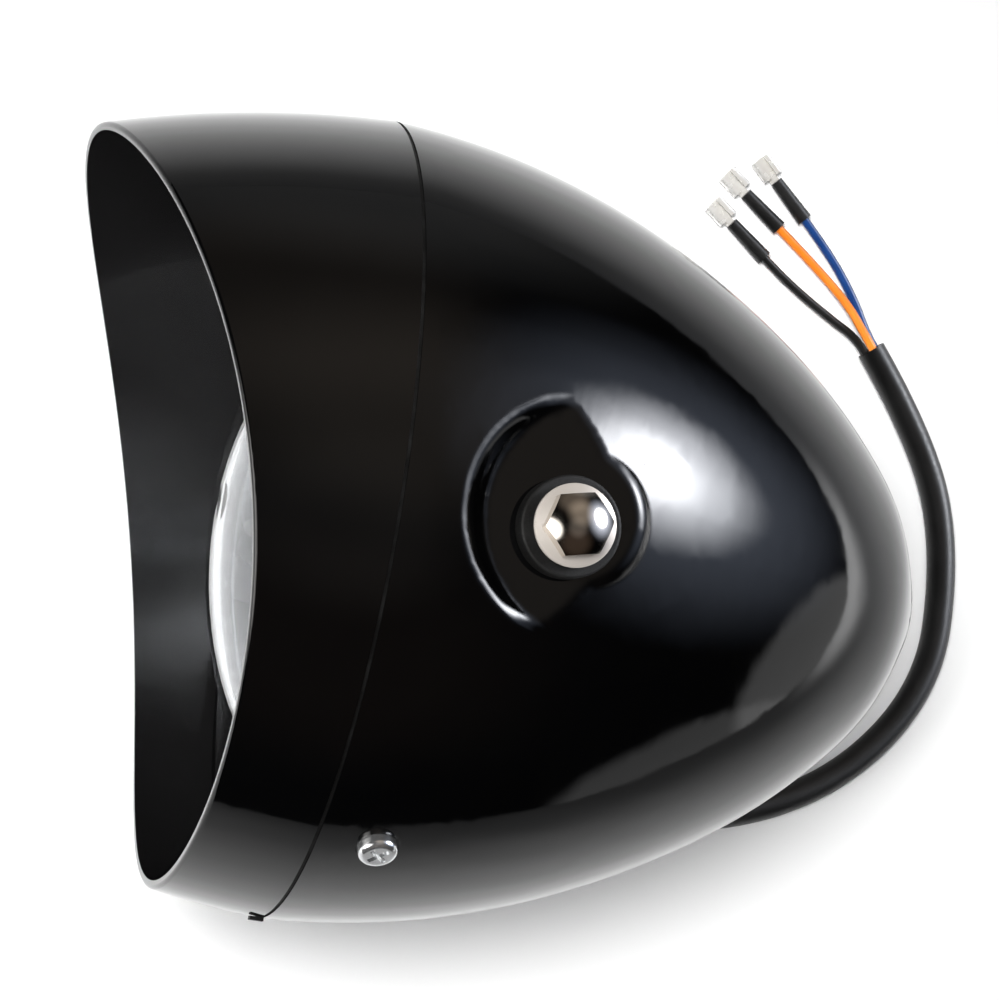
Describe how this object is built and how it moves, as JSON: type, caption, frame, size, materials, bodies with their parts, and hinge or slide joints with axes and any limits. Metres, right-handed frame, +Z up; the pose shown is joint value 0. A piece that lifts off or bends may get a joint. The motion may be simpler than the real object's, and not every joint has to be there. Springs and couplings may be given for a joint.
{
  "type": "round motorcycle headlight",
  "caption": "Bullet-shaped round motorcycle headlight in gloss black with a peaked visor ring, domed clear lens, side mounting bolts and a short cable with spade terminals.",
  "frame": {"origin": "where the axis of the side mounting bolts crosses the lamp's upright middle plane, 2.5 mm below the lamp's own axis", "axes": "-X the way the lamp shines, +Y the visor's side (up on the motorcycle), +Z along the mounting bolts to the rider's left; the lamp lies on its right side as pictured, so +Z is up"},
  "size_m": [0.2424, 0.2085, 0.1876],
  "materials": {
    "black_paint": "gloss black enamel",
    "black_rubber": "matte moulded rubber",
    "zinc_sheet": "zinc-plated pressed sheet",
    "zinc_screw": "bright zinc plate",
    "nickel_bolt": "bright nickel plate",
    "black_steel": "black oxide",
    "clear_glass": "clear, smooth",
    "reflector_coating": "vapour-coated mirror",
    "bulb_metal": "satin",
    "bulb_glass": "clear quartz",
    "tungsten": "drawn wire",
    "spring_steel": "drawn wire",
    "black_plastic": "moulded",
    "black_sheath": "matte soft sheath",
    "black_wire": "smooth insulation",
    "orange_wire": "smooth insulation",
    "blue_wire": "smooth insulation",
    "black_sleeve": "soft shrunk sleeve",
    "tinned_brass": "bright tin plate"
  },
  "bodies": {
    "root": {"shell": "black_paint", "visor_ring": "black_paint", "joint_seal": "black_rubber", "ring_hook": "zinc_sheet", "lens": "clear_glass", "lens_seal": "black_rubber", "reflector": "reflector_coating", "lens_clip_1": "zinc_sheet", "lens_clip_2": "zinc_sheet", "lens_clip_3": "zinc_sheet", "bulb_base": "bulb_metal", "bulb_glass": "bulb_glass", "bulb_filaments": "tungsten", "bulb_shield": "bulb_metal", "bulb_spring": "spring_steel", "bulb_boot": "black_rubber", "bulb_connector": "black_plastic", "cable_grommet": "black_rubber", "cable_sheath": "black_sheath", "ring_tab_left": "zinc_sheet", "tab_nut_left": "zinc_sheet", "ring_screw_left": "zinc_screw", "mount_bolt_left": "nickel_bolt", "spring_washer_left": "black_steel", "rubber_washer_left": "black_rubber", "weld_nut_left": "zinc_sheet", "ring_tab_right": "zinc_sheet", "tab_nut_right": "zinc_sheet", "ring_screw_right": "zinc_screw", "mount_bolt_right": "nickel_bolt", "spring_washer_right": "black_steel", "rubber_washer_right": "black_rubber", "weld_nut_right": "zinc_sheet", "wire_black": "black_wire", "inner_lead_black": "black_wire", "sleeve_black": "black_sleeve", "terminal_black": "tinned_brass", "wire_orange": "orange_wire", "inner_lead_orange": "orange_wire", "sleeve_orange": "black_sleeve", "terminal_orange": "tinned_brass", "wire_blue": "blue_wire", "inner_lead_blue": "blue_wire", "sleeve_blue": "black_sleeve", "terminal_blue": "tinned_brass"}
  },
  "joints": []
}
